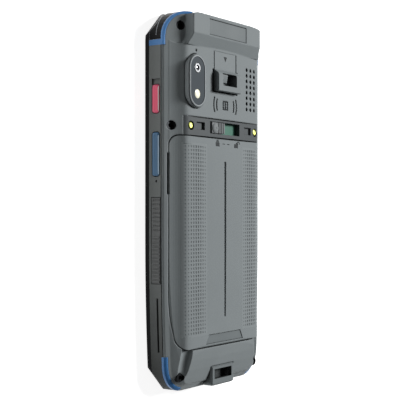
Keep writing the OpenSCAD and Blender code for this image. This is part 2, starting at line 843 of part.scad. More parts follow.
module strap_anchor() {
  z0 = plateau_z - 2.2;
  zt = plateau_z + anchor_rise;
  y0 = hook_y - 9.4;
  color(c_grey) difference() {
    union() {
      // plate with the arrow
      box(-8.5, 8.5, hook_y, head_y0 - 0.9, z0, plateau_z - 0.05);
      // raised bridge, seen from the side
      along_x(-8.9, 8.9) polygon([[y0 + 0.6, z0], [hook_y + 0.5, z0], [hook_y + 0.5, plateau_z - 0.05],
        [hook_y - 1.2, zt - 0.35], [hook_y - 2.0, zt], [y0 + 0.2, zt], [y0, zt - 0.3], [y0, z0 + 1.2]]);
    }
    // opening for the strap and the way out under the bar
    box(-5.6, 5.6, y0 + 2.6, hook_y - 1.2, z0 + 0.5, zt + 1);
    box(-5.6, 5.6, y0 - 1, hook_y - 1.2, z0 + 0.5, z0 + 2.6);
    // arrow
    translate([0, hook_y + 6.0, plateau_z - 0.5]) rotate([0, 0, -90])
      cylinder(r = 1.5, h = 2, $fn = 3);
  }
  // tongue that keeps the strap in
  color(c_grey) along_x(-4.2, -0.4) polygon([[hook_y - 0.8, z0 + 3.0], [hook_y - 0.8, zt - 1.3],
    [hook_y - 2.2, zt - 1.0], [hook_y - 5.4, zt - 1.7], [hook_y - 5.7, z0 + 3.2]]);
}

// plan of the lower strap loop, rounded at the two free corners
module loop_plan(g = 0) {
  r = 1.8;
  right = concat([[9.2 + g, -half_l + 9.1 + g]], arc_pts(9.2 + g - r, -half_l + r - g, r, 0, -90, 5));
  polygon(concat(right, flip(right)));
}

module strap_loop() {
  z0 = seam_z + 1.2;
  color([0.42, 0.45, 0.46]) difference() {
    intersection() {
      slab(z0, loop_z + 1) loop_plan();
      along_x(-9.2, 9.2) polygon([[-half_l, z0], [-half_l + 9.1, z0], [-half_l + 9.1, loop_z - 0.6],
        [-half_l + 8.4, loop_z], [-half_l + 0.9, loop_z], [-half_l, loop_z - 0.9]]);
      along_y(-half_l - 1, -half_l + 10) polygon([[-9.2, z0], [9.2, z0], [9.2, loop_z - 0.9],
        [8.3, loop_z], [-8.3, loop_z], [-9.2, loop_z - 0.9]]);
    }
    box(-6.9, 6.9, -half_l + 3.1, -half_l + 7.5, z0 + 0.5, loop_z + 1);
    box(-6.9, 6.9, -half_l - 1, -half_l + 7.5, z0 + 0.5, z0 + 2.8);
  }
}

module label_plate() {
  color([0.46, 0.49, 0.50]) box(-14.8, 14.8, head_y1 + 0.8, half_l - 2.0, head_z - 0.5, head_z - 0.2);
}

// ---------------------------------------------------------------- latch band

module latch_band() {
  color([0.24, 0.255, 0.26]) difference() {
    intersection() {
      along_y(band_y0, band_y1) crown_profile();
      box(-half_w + band_in, half_w - band_in, band_y0, band_y1, band_floor, plateau_z + 1);
    }
    // slot of the slider, with a groove under each long edge
    box(-latch_half, latch_half, latch_y - 2.7, latch_y + 2.7, slot_floor, plateau_z + 1);
    box(-latch_half, latch_half, band_y0 - 1, latch_y + 3.9, slot_floor, slot_floor + 1.3);
    // small contact windows
    both_sides() {
      box(contact_x + 3.8, contact_x + 9.8, latch_y - 1.6, latch_y + 1.8, plateau_z - 1.3, plateau_z + 1);
      translate([contact_x, latch_y - 0.1, plateau_z - 1.5]) cylinder(r = 2.0, h = 3);
    }
    box(-half_w, half_w, band_y1 - 0.5, band_y1 + 1, plateau_z - 0.9, plateau_z + 1);
  }
}

module lock_slider() {
  color([0.20, 0.21, 0.22]) {
    difference() {
      box(knob_x0, knob_x0 + knob_w, latch_y - 2.4, latch_y + 2.4, slot_floor + 0.3, plateau_z + 0.3);
      for (i = [0:3]) box(knob_x0 + 4.6 + i * 1.3, knob_x0 + 5.1 + i * 1.3, latch_y - 3, latch_y + 3,
        plateau_z - 0.2, plateau_z + 1);
      translate([knob_x0 + 3.4, latch_y, plateau_z - 0.2]) cylinder(r = 1.5, h = 2);
    }
    box(knob_x0 + 0.3, knob_x0 + knob_w - 0.3, band_y0 + 0.15, latch_y + 3.6,
        slot_floor + 0.3, slot_floor + 1.0);
  }
}

module lock_indicator() {
  color([0.25, 0.60, 0.47])
    box(0.2, latch_half, latch_y - 2.7, latch_y + 2.7, slot_floor, slot_floor + 0.1);
}

module grip_contacts() {
  color(c_gold) both_sides() translate([contact_x, latch_y - 0.1, plateau_z - 1.5]) {
    cylinder(r = 1.45, h = 0.75);
    translate([0, 0, 0.75]) cylinder(r1 = 1.45, r2 = 1.0, h = 0.2);
  }
}

// ---------------------------------------------------------------- battery pack

module pack_cover() {
  top_in = plateau_z - 1.9;
  color(c_grey) difference() {
    intersection() {
      rear_form_plain();
      slab(shelf_z + 0.3, plateau_z + 1) bay_plan(pack_gap, 0.45);
      along_x(-half_w, half_w) polygon(concat(
        [[pack_end, shelf_z], [pack_end, plateau_z - 0.7], [pack_end - 0.5, plateau_z + 0.2]],
        arc_pts(pivot_y, pivot_z, 1.0, 90, 180, 5),
        [[pivot_y - 1.0, shelf_z]]));
    }
    // room for the cell and the tray
    box(-cell_x + 1.0, cell_x - 1.0, bay_y0 + 6.0, pack_end - 3.6, shelf_z - 1, top_in);
    box(-tray_x, tray_x, bay_y0 + 3.2, pack_end - 2.4, shelf_z - 1, 11.8);
    // long groove down the middle
    along_y(bay_y1 - 81.4, bay_y1 - 10.8)
      polygon([[-0.7, plateau_z + 1], [-0.7, plateau_z], [-0.3, plateau_z - 0.6],
               [0.3, plateau_z - 0.6], [0.7, plateau_z], [0.7, plateau_z + 1]]);
    // seats of the textured strips, which follow the crown
    both_sides() along_y(bay_y0 + 6.4, bay_y1 - 4.0) polygon(concat(
      [for (i = [0:9]) let (e = strip_in + strip_w * i / 9) [-half_w + e, crown_z(e) - strip_depth]],
      [[-half_w + strip_in + strip_w, plateau_z + 1], [-half_w + strip_in, plateau_z + 1]]));
    // recess of the bare plate
    slab(plateau_z - 0.75, plateau_z + 1) polygon([[-15, bay_y0 + 1.5], [15, bay_y0 + 1.5],
      [12.7, bay_y0 + 5.7], [-12.7, bay_y0 + 5.7]]);
    // catch pocket for the latch
    box(-latch_half, latch_half, pack_end - 1.8, pack_end + 1, slot_floor - 0.3, slot_floor + 1.3);
    // lock marks beside the slider
    for (x = [-6, 9]) translate([x, bay_y1 - 2.6, plateau_z - 0.3]) {
      box(-0.9, 0.9, -0.9, 0.3, 0, 1);
      difference() {
        translate([x > 0 ? 0.8 : 0, 0.3, 0]) cylinder(r = 0.8, h = 1, $fn = 24);
        translate([x > 0 ? 0.8 : 0, 0.3, -1]) cylinder(r = 0.4, h = 3, $fn = 24);
      }
    }
    // finger nick in line with the pry slot
    both_sides() box(-bay_x - 1, -bay_x + pack_gap + 0.3, bay_y1 - 26, bay_y1 - 8, shelf_z, plateau_z);
  }
}

// outer form over the pack only, without head, pads or scoops
module rear_form_plain() {
  intersection() {
    rim_loft();
    along_y(-half_l, half_l) crown_profile();
    along_x(-half_w, half_w) fall_profile();
  }
}

module pack_tray() {
  color(c_black) {
    difference() {
      box(-tray_x, tray_x, bay_y0 + 3.2, pack_end - 2.4, tub_floor + 0.4, 11.8);
      box(-tray_x + 1.2, tray_x - 1.2, bay_y0 + 4.6, pack_end - 3.6, tub_floor + 1.2, 12.8);
      box(-7.6, 7.6, tub_y1 - 9.0, tub_y1 - 3.0, tub_floor, tub_floor + 2);
    }
    // two tabs that hook under the housing
    for (x = [-tab_x, tab_x]) box(x - 3, x + 3, bay_y0 - 1.4, bay_y0 + 3.3, 9.0, 10.2);
  }
}

module battery_cell() {
  color([0.70, 0.71, 0.73]) box(-cell_x + 1.3, cell_x - 1.3, bay_y0 + 8.0, pack_end - 15.0,
    tub_floor + 1.2, plateau_z - 2.0);
}

module pack_terminals() {
  color(c_gold) {
    box(-7.6, 7.6, tub_y1 - 9.0, tub_y1 - 3.0, tub_floor + 0.6, tub_floor + 2.6);
    for (i = [-2:2]) box(i * 2.8 - 0.8, i * 2.8 + 0.8, tub_y1 - 8.2, tub_y1 - 3.8,
      tub_floor + 0.4, tub_floor + 0.7);
  }
}

module pack_seal() {
  color([0.85, 0.42, 0.15]) slab(tub_floor + 1.9, tub_floor + 2.7) difference() {
    translate([-tray_x - 0.25, bay_y0 + 2.95])
      square([2 * tray_x + 0.5, pack_end - 2.15 - bay_y0 - 2.95]);
    translate([-tray_x, bay_y0 + 3.2]) square([2 * tray_x, pack_end - 2.4 - bay_y0 - 3.2]);
    for (x = [-tab_x, tab_x]) translate([x - 3, bay_y0]) square([6, 4]);
  }
}

module pack_plate() {
  color([0.40, 0.43, 0.45]) slab(plateau_z - 0.75, plateau_z - 0.45) polygon([
    [-14.7, bay_y0 + 1.7], [14.7, bay_y0 + 1.7], [12.5, bay_y0 + 5.5], [-12.5, bay_y0 + 5.5]]);
}

module battery_connector() {
  color([0.08, 0.08, 0.08]) {
    box(-7.9, 7.9, tub_y1 - 8.9, tub_y1 - 3.1, floor_top, tub_floor - 0.5);
    for (i = [-2:2]) translate([i * 2.8, tub_y1 - 6, 6]) cylinder(r = 0.5, h = tub_floor - 5.9);
  }
}

// ---------------------------------------------------------------- inside

module main_board() {
  color([0.10, 0.34, 0.20]) difference() {
    box(-board_x, board_x, tub_y1 + 2.2, half_l - 5.4, board_z, board_z + board_t);
    both_sides() screw_board_clearance();
  }
}

module screw_board_clearance() {
  translate([screw_top[0], screw_top[1], 0]) cylinder(r = 3.0, h = 20);
  translate([screw_mid[0], screw_mid[1], 0]) cylinder(r = 3.0, h = 20);
}

module shield_can() {
  color([0.75, 0.76, 0.78]) difference() {
    box(-board_x + 4, board_x - 4, bay_y1 + 2.6, half_l - 11, board_z + board_t, can_top);
    box(-board_x + 4.3, board_x - 4.3, bay_y1 + 2.9, half_l - 11.3, 6, can_top - 0.3);
  }
}

module scan_engine() {
  color([0.13, 0.13, 0.14]) difference() {
    box(-11, 11, head_y0 + 0.8, half_l - 4.4, can_top, head_z - 3.1);
    for (x = [-5.5, 5.5]) translate([x, half_l - 6.4, 12.2]) rotate([-90, 0, 0])
      cylinder(r = 2.4, h = 4);
  }
}

module scan_window() {
  color([0.35, 0.06, 0.08]) box(-13.5, 13.5, half_l - 2.0, half_l - 0.4, seam_z + 0.4, head_z - 2.3);
}

module speaker_driver() {
  color([0.16, 0.16, 0.17]) {
    box(speaker_x - 4.8, speaker_x + 4.8, speaker_y - speaker_l / 2, speaker_y + speaker_l / 2,
        can_top, plateau_z - 2.7);
  }
}

module speaker_mesh() {
  color([0.05, 0.05, 0.05])
    box(speaker_x - 4.8, speaker_x + 4.8, speaker_y - speaker_l / 2, speaker_y + speaker_l / 2,
        plateau_z - 2.7, plateau_z - 2.3);
}

module rear_microphone() {
  color([0.6, 0.6, 0.62])
    box(cam_x - 1.2, cam_x + 2.2, mic_y - 1.4, mic_y + 0.8, can_top, can_top + 1);
}

module sub_board() {
  color([0.10, 0.34, 0.20]) box(-half_w + 14.5, half_w - 14.5, -half_l + 5.0, bay_y0 - 4.4, sub_z, sub_z + sub_t);
}

module usb_port() {
  z0 = sub_z + sub_t;
  color([0.62, 0.63, 0.65]) difference() {
    box(-4.7, 4.7, -half_l + 0.6, -half_l + 9.0, z0, z0 + 2.5);
    box(-4.4, 4.4, -half_l, -half_l + 8.0, z0 + 0.3, z0 + 2.2);
  }
  color([0.1, 0.1, 0.1]) box(-3.4, 3.4, -half_l + 1.6, -half_l + 8.2, z0 + 1.0, z0 + 1.5);
}

module vibration_motor() {
  color([0.7, 0.7, 0.72]) translate([half_w - 20.5, -half_l + 9.5, sub_z + sub_t])
    cylinder(r = 4.0, h = 2.6);
}

front_frame();
touch_glass();
display_panel();
earpiece_grille();
front_camera();
mid_frame();
housing_gasket();
rear_housing();
housing_screws();
bumper_left();
bumper_right();
accent_upper_left();
accent_upper_right();
accent_lower_left();
accent_lower_right();
side_grip_left();
side_grip_right();
function_key();
scan_key_left();
scan_key_right();
volume_rocker();
power_key();
key_board_left();
key_board_right();
camera_bezel();
camera_window();
camera_lens();
flash_lens();
camera_module();
strap_anchor();
strap_loop();
label_plate();
latch_band();
lock_slider();
lock_indicator();
grip_contacts();
pack_cover();
pack_tray();
battery_cell();
pack_terminals();
pack_seal();
pack_plate();
battery_connector();
main_board();
shield_can();
scan_engine();
scan_window();
speaker_driver();
speaker_mesh();
rear_microphone();
sub_board();
usb_port();
vibration_motor();
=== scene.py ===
# %% [markdown]
# # A rugged hand terminal, dressed for the studio
# The terminal lies on its screen and shows its back. The solids come ready
# from the CAD model, in metres, each in its true place. They could be modelled
# again here, but then two models would have to agree, so this lesson keeps
# them: it gives them finishes, adds the details that are too fine for solids
# and pieces that paint highlights, a reflection and shade, and sets up the
# light and the camera.

# %% Load the frame
import math
import bmesh
import bpy
from mathutils import Matrix, Vector


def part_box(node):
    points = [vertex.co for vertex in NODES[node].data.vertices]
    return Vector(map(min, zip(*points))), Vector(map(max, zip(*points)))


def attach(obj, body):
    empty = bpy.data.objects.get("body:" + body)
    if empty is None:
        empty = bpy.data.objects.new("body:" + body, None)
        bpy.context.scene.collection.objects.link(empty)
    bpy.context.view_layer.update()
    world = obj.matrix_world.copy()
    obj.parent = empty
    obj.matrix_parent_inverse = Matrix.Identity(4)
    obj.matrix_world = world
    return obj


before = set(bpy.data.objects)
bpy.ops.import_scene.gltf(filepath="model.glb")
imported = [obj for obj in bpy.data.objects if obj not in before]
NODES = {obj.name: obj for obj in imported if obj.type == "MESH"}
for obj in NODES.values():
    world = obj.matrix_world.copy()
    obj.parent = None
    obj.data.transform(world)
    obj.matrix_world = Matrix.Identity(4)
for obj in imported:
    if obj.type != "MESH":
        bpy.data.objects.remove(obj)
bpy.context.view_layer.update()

MM = 0.001

# %% [markdown]
# Blender works in metres here, but the details of a hand terminal are easier
# to think of in millimetres. `corners` gives the lowest and the highest corner
# of a solid in millimetres. The details hang on such corners and not on typed
# places, so that a piece keeps its seat when the shell under it changes.

# %% Read the sizes that the details hang on
def corners(node):
    return [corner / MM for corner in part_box(node)]


shell_far = corners("rear_housing")[1]
pack_far = corners("pack_cover")[1]
HALF_W = shell_far.x
PLATEAU = pack_far.z
BAY_TOP = pack_far.y + 0.45
print("half width %.1f mm, half length %.1f mm, plateau %.1f mm, bay up to %.1f mm"
      % (HALF_W, shell_far.y, PLATEAU, BAY_TOP))

# %% [markdown]
# A finish is a small tree of nodes around one Principled shader. It could be
# wired by hand in the shader editor, but a terminal has more than thirty
# finishes that differ only a little, so a helper keeps the wiring short. `add`
# makes a node, sets its sockets by name and links them when the value is
# another node's output. Constants go straight onto the shader's own sockets,
# because an exporter reads them there.

# %% The wiring of a finish
class Wiring:
    def __init__(self, name, rough=0.5, metal=0.0, coat=0.0, coat_rough=0.1, shine=0.5):
        self.mat = bpy.data.materials.new(name)
        self.mat.use_nodes = True
        self.tree = self.mat.node_tree
        self.shader = self.tree.nodes["Principled BSDF"]
        for socket, value in (("Roughness", rough), ("Metallic", metal), ("Coat Weight", coat),
                              ("Coat Roughness", coat_rough), ("Specular IOR Level", shine)):
            self.shader.inputs[socket].default_value = value
        self.place = self.add("ShaderNodeTexCoord").outputs["Object"]

    def add(self, kind, sockets=None, **settings):
        node = self.tree.nodes.new(kind)
        for key, value in settings.items():
            setattr(node, key, value)
        for key, value in (sockets or {}).items():
            if isinstance(value, bpy.types.NodeSocket):
                self.tree.links.new(value, node.inputs[key])
            else:
                node.inputs[key].default_value = value
        return node

    def link(self, socket, value):
        self.tree.links.new(value, self.shader.inputs[socket])


print("wiring ready")

# %% [markdown]
# Four small words on top of it do most of the work: `noise` is a pattern fixed
# to the object, `span` stretches one range of values to another, `times`
# combines two values, and `mix` lays one colour over another. They could be
# node groups, but plain functions are easier to read and to change. `paint`
# turns a colour as a screen shows it, 0 to 255, into the even scale that light
# needs, and `scaled` makes that colour darker or brighter.

# %% The words that the finishes are written in
MOST_NOISE = (0.3, 0.7)  # a noise hardly ever leaves this range
UP, DOWN = (0.0, 1.0), (1.0, 0.0)


class Words(Wiring):
    def noise(self, scale, detail=3.0, rough=0.5, stretch=None):
        place = self.place
        if stretch:
            place = self.add("ShaderNodeMapping", {"Vector": place, "Scale": stretch}).outputs[0]
        sockets = {"Vector": place, "Scale": scale, "Detail": detail, "Roughness": rough}
        return self.add("ShaderNodeTexNoise", sockets).outputs["Fac"]

    def span(self, value, source, target):
        sockets = {"Value": value, "From Min": source[0], "From Max": source[1],
                   "To Min": target[0], "To Max": target[1]}
        return self.add("ShaderNodeMapRange", sockets).outputs["Result"]

    def times(self, a, b, operation="MULTIPLY"):
        return self.add("ShaderNodeMath", {0: a, 1: b}, operation=operation).outputs[0]

    def mix(self, share, a, b):
        return self.add("ShaderNodeMix", {0: share, 6: a, 7: b}, data_type="RGBA").outputs[2]


def paint(red, green, blue):
    """Undo the curve that screens put on a colour."""
    line = [c / 12.92 if c <= 0.04045 else ((c + 0.055) / 1.055) ** 2.4
            for c in (red / 255, green / 255, blue / 255)]
    return (*line, 1.0)


def scaled(base, factor, lift=0.0):
    return [min(1.0, max(0.0, c * factor + lift)) for c in base[:3]] + [1.0]


print("mid grey on a screen is", round(paint(128, 128, 128)[0], 3), "in light")

# %% [markdown]
# Real moulded parts never have knife edges. Every edge of the solids could get
# a bevel of real faces, but their meshes stay as they are, so the Bevel node
# bends the shading normal near every edge instead. Where that bent normal
# leaves the true one, the surface is an edge, and `edge_share` says how much
# of one. `relief` gives the surface its fine grain as a bump. With that, a
# `Finish` has all it needs.

# %% Rounded edges and grain
class Finish(Words):
    def rounded(self, radius):
        return self.add("ShaderNodeBevel", {"Radius": radius * MM}, samples=4).outputs[0]

    def true_normal(self):
        return self.add("ShaderNodeNewGeometry").outputs["Normal"]

    def edge_share(self, rounded, at_edge, on_face):
        agree = self.add("ShaderNodeVectorMath", {0: rounded, 1: self.true_normal()},
                         operation="DOT_PRODUCT").outputs["Value"]
        return self.span(agree, (at_edge, on_face), DOWN)

    def relief(self, height, strength, depth, normal=None):
        sockets = {"Strength": strength, "Distance": depth * MM, "Height": height}
        if normal is not None:
            sockets["Normal"] = normal
        self.link("Normal", self.add("ShaderNodeBump", sockets).outputs[0])


print("edge and grain helpers ready")

# %% [markdown]
# The shell is glass-filled plastic with a fine spark-eroded grain. One flat
# colour would look like paper, so the tone is built in layers: a cloudy
# mottle, edges painted brighter in patches, partly as wear and partly as a
# painted highlight, and painted shade in the hollows, which the Ambient
# Occlusion node finds. Each layer is a function that takes the tone so far
# and gives the next one, so that every plastic can use the same layers in its
# own strength.

# %% The layers of a moulded surface
MOTTLE = 0.05
PLAIN_FACE = 0.995  # the bent and the true normal agree this well away from edges
# the darkest painted shade in a hollow, as a share of the base colour
HOLLOW_DARK = 0.12
# how much brighter the edges are painted, partly as wear and partly as a highlight
EDGE_GAIN, EDGE_HAZE = 2.2, 0.25


def mottled(f, base, grain):
    cloud = f.span(f.noise(45.0, detail=4.0, rough=0.6), MOST_NOISE, (0.0, 0.6))
    speck = f.span(f.noise(grain * 0.8, detail=2.0), (0.35, 0.65), (0.0, 0.4))
    return f.mix(f.times(cloud, speck, "ADD"), scaled(base, 1.0 - MOTTLE),
                 scaled(base, 1.0 + MOTTLE, 0.004))


# Edges are painted brighter in patches: partly wear, partly a painted highlight.
def worn_and_highlit(f, tone, base, rounded, bent, edge, lift):
    patches = f.span(f.noise(220.0, detail=5.0, rough=0.7), (0.35, 0.6), (0.35, 1.0))
    edge_light = f.times(f.edge_share(rounded, bent, PLAIN_FACE), patches)
    bright = scaled(base, 1.0 + EDGE_GAIN * lift, EDGE_HAZE * lift)
    return f.mix(f.times(edge_light, edge), tone, bright)


# Painted shade: where the Ambient Occlusion node finds a hollow within reach, the colour turns
# darker.
def shade_hollows(f, tone, base, reach, deep, hollow_shade):
    hollow = f.add("ShaderNodeAmbientOcclusion", {"Distance": reach * MM}, samples=6).outputs["AO"]
    return f.mix(f.times(f.span(hollow, deep, DOWN), hollow_shade), tone, scaled(base, HOLLOW_DARK))


# the layers are the mottle, edges painted brighter as wear and as a highlight, and painted shade
# in the hollows
print("three layers: mottle, rubbed edges, dust")

# %% [markdown]
# Two more layers paint shade into the colour. The first darkens a piece along
# its length, from one y to another in millimetres, as painted shade towards
# its lower end. The second darkens its steep flanks, as painted shade: it
# looks at how far the true normal leans sideways, so it needs no painted mask.
# Both are broken up by noise.

# %% The layers of painted shade
# the darkest painted shade along the length and on the flanks, as shares of the base colour
END_SHADE, FLANK_SHADE = 0.2, 0.3


def patchy(f, share, scale):
    return f.times(share, f.span(f.noise(scale, detail=4.0, rough=0.6), MOST_NOISE, (0.8, 1.0)))


# Painted shade: the colour turns darker along y, towards the lower end.
def shade_along(f, tone, base, start, end, most):
    along = f.add("ShaderNodeSeparateXYZ", {0: f.place}).outputs["Y"]
    painted_shade = f.span(along, (start * MM, end * MM), (0.0, most))
    return f.mix(patchy(f, painted_shade, 60.0), tone, scaled(base, END_SHADE))


# Painted shade: steep flanks, where the true normal leans sideways, turn darker.
def shade_flanks(f, tone, base, start, end, most):
    across = f.add("ShaderNodeSeparateXYZ", {0: f.true_normal()}).outputs["X"]
    lean = f.add("ShaderNodeMath", {0: across}, operation="ABSOLUTE").outputs[0]
    steep_shade = f.span(lean, (start, end), (0.0, most))
    return f.mix(patchy(f, steep_shade, 35.0), tone, scaled(base, FLANK_SHADE))


# both layers are painted shade
print("two layers of grime: along the length and on the flanks")

# %% [markdown]
# `moulded` stacks the layers into one plastic. One node group with many
# sliders could do it too, but a function leaves out the layers that a plastic
# doesn't need. Lengths are in millimetres: `depth` is the height of the grain,
# `bevel` the radius of the edges and `reach` how far the painted shade looks
# for a hollow. `deep` is the range of openness that counts as hollow, and
# `bent` the bend that counts as a full edge.

# %% One moulded plastic
def moulded(name, colour, rough=0.5, grain=2400.0, depth=0.05, edge=0.35, lift=0.10, hollow_shade=0.75,
            bevel=0.25, coat=0.0, reach=1.1, shine=0.1, deep=(0.15, 0.8), bent=0.80,
            shaded_end=None, flank=None):
    f = Finish(name, rough, coat=coat, shine=shine)
    base = paint(*colour)
    rounded = f.rounded(bevel)
    tone = worn_and_highlit(f, mottled(f, base, grain), base, rounded, bent, edge, lift)
    tone = shade_hollows(f, tone, base, reach, deep, hollow_shade)
    if shaded_end:
        tone = shade_along(f, tone, base, *shaded_end)
    if flank:
        tone = shade_flanks(f, tone, base, *flank)
    f.link("Base Color", tone)
    uneven = f.noise(90.0, detail=5.0, rough=0.65)
    f.link("Roughness", f.span(uneven, MOST_NOISE, (rough - 0.06, rough + 0.07)))
    f.relief(f.noise(grain, rough=0.6), strength=0.35, depth=depth, normal=rounded)
    return f.mat


finishes = {}
print("plastics can be mixed now")

# %% [markdown]
# The greys of the case. The shell, the cover of the pack and its grip strips
# are one colour of plastic, each with its own mix of the same layers: the
# shell has broad soft edges and strong painted shade in its deep hollows, the
# cover and the strips get painted shade on their flanks, and the strips have
# sharp small pits. The lands of a strip are a lighter copy of the grey, a
# painted highlight, and its pits a darker copy, painted shade. The trim and
# the strap anchor get strong painted shade in their openings.

# %% The greys of the case
CASE_GREY = (141, 148, 150)
# how strongly the steep flanks of the pack get painted shade
FLANK_SHADING = (0.44, 0.6, 0.2)
finishes.update({
    # strong painted shade in the deep hollows of the shell
    "grey_shell": moulded("eroded_grey_plastic", CASE_GREY, 0.58, bevel=0.8, hollow_shade=0.9, reach=3.0,
                          deep=(0.05, 0.6)),
    "cover_shell": moulded("eroded_cover_plastic", CASE_GREY, 0.58, bevel=0.5, hollow_shade=0.4,
                           reach=1.5, flank=FLANK_SHADING),
    # the lands of the strips are a lighter copy of the grey: painted highlight
    "grip_lit_lands": moulded("grip_strip_plastic", (146, 153, 155), 0.58, bevel=0.05, edge=0.0,
                          flank=FLANK_SHADING),
    # the pits are a darker copy of the grey: painted shade
    "pit": moulded("dark_pit_floor", (130, 136, 138), 0.6, lift=0.02, edge=0.1, hollow_shade=0.25,
                   flank=FLANK_SHADING),
    # strong painted shade in the openings of the trim and the strap loop
    "grey_trim": moulded("satin_grey_trim", (125, 132, 134), 0.5, grain=3200.0, depth=0.03,
                         hollow_shade=0.97, reach=7.0, deep=(0.5, 0.95)),
    # strong painted shade in the opening of the strap anchor
    "strap_grey": moulded("strap_anchor_plastic", CASE_GREY, 0.56, hollow_shade=0.97, reach=5.0,
                          deep=(0.25, 0.8)),
    "slider": moulded("pale_slider_plastic", (132, 136, 138), 0.34, grain=3000.0, lift=0.16,
                      edge=0.7, bevel=0.4, coat=0.2),
    "thumb_grey": moulded("satin_thumb_dome", (138, 143, 145), 0.55, grain=3000.0, bevel=0.1,
                          edge=0.0, hollow_shade=0.5),
    # the bright lip of the camera bezel is a painted highlight
    "bezel_lip_highlight": moulded("bright_bezel_lip", (178, 184, 188), 0.34, grain=3000.0, bevel=0.1,
                          coat=0.2, hollow_shade=0.2),
})
print("greys:", sorted(finishes))

# %% [markdown]
# The dark pieces: the side band and its grip pads are soft to the touch, while
# the latch band, the front rim and the marks are harder plastic or paint. One
# dark grey for all would be simpler, but the eye tells rubber from plastic by
# its roughness. The band also turns darker towards its lower end, as painted
# shade.

# %% The dark plastics and rubbers
finishes.update({
    # the band turns darker towards its lower end: painted shade
    "band": moulded("soft_charcoal_band", (124, 128, 127), 0.58, depth=0.06, lift=0.06,
                    shaded_end=(-30.0, -76.0, 0.9)),
    "dark_band": moulded("dark_latch_plastic", (92, 97, 99), 0.5, grain=3000.0, lift=0.14,
                         edge=0.6),
    "black_frame": moulded("black_frame_plastic", (28, 29, 31), 0.5, grain=3000.0, lift=0.03,
                           edge=0.2),
    "rubber": moulded("black_rubber", (24, 24, 25), 0.75, grain=1800.0, lift=0.03),
    "grip": moulded("charcoal_grip_rubber", (121, 123, 123), 0.66, grain=2000.0, lift=0.04,
                    edge=0.25, hollow_shade=0.45),
    "mark": moulded("dark_filled_mark", (62, 66, 68), 0.6, lift=0.02, edge=0.1),
})
print("with the dark ones:", len(finishes))

# %% [markdown]
# The coloured pieces are clear-coated mouldings. Their edges get a painted
# highlight: the layer of pale edges runs at full strength and starts at a
# slight bend. The blue trim also turns darker towards its lower end, as painted
# shade. The three share one set of values, which keeps them looking like parts
# of one family.

# %% The coloured keys, trims and flag
CLEAR_COATED = dict(rough=0.30, grain=3000.0, depth=0.03, edge=1.0, coat=0.3, hollow_shade=0.3, shine=0.3,
                    bent=0.92)
finishes.update({
    # the blue trim turns darker towards its lower end: painted shade
    "blue_trim": moulded("blue_overmould", (76, 136, 200), lift=0.2, bevel=0.5,
                         shaded_end=(-58.0, -82.0, 0.35), **CLEAR_COATED),
    "blue_key": moulded("blue_key_plastic", (72, 114, 150), lift=0.25, bevel=0.6, **CLEAR_COATED),
    "red_key": moulded("red_key_plastic", (255, 94, 128), lift=0.25, bevel=0.6, **CLEAR_COATED),
    "indicator": moulded("green_lock_flag", (84, 132, 115), 0.35, grain=3000.0, depth=0.02),
})
print("plastics:", len(finishes))

# %% [markdown]
# The corner guards, the screen and the lenses are glossy. Gloss could be one
# low roughness, but it looks real only when it isn't even, so a greasy film
# and hair scratches move the roughness a little. Some of these pieces also
# show a pale edge, painted partly as wear and partly as a highlight; on the
# black corner guards it is a painted highlight.

# %% One glossy surface
TINT = 0.24
# the pale edge colour, painted partly as wear and partly as a highlight
WEAR_AND_GLINT, GLINT_FROM, GLINT_TO = (176, 182, 190), 0.86, 0.99
HAIRS = (0.12, 1.0, 1.0)  # the scratches run along x


def glossy(name, colour, rough=0.12, coat=0.6, smudge=0.10, bevel=0.2, edge=0.0, shine=0.5):
    f = Finish(name, rough, coat=coat, coat_rough=0.04, shine=shine)
    base = paint(*colour)
    tone = f.mix(f.span(f.noise(30.0, detail=4.0), (0.3, 0.75), UP), base,
                 scaled(base, 1.0 + TINT, 0.003))
    rounded = f.rounded(bevel)
    # Pale edges, painted partly as wear and partly as a highlight.
    if edge:
        glint_share = f.times(f.edge_share(rounded, GLINT_FROM, GLINT_TO), edge)
        tone = f.mix(glint_share, tone, paint(*WEAR_AND_GLINT))
    f.link("Base Color", tone)
    hairs = f.noise(900.0, detail=2.0, stretch=HAIRS)
    scratch = f.span(hairs, (0.62, 0.72), (0.0, 0.5 * smudge))
    film = f.span(f.noise(24.0, detail=5.0, rough=0.7), (0.45, 0.75), (rough, rough + smudge))
    f.link("Roughness", f.times(film, scratch, "ADD"))
    f.relief(f.noise(400.0), strength=0.08, depth=0.02, normal=rounded)
    return f.mat


# the pale edge is painted wear and painted highlight
print("worn edge colour:", WEAR_AND_GLINT)

# %% [markdown]
# The glossy finishes themselves. The flash cover also glows a little: a
# faint emission paints light into it, so that it looks brighter than its
# neighbours, though it is no lamp.

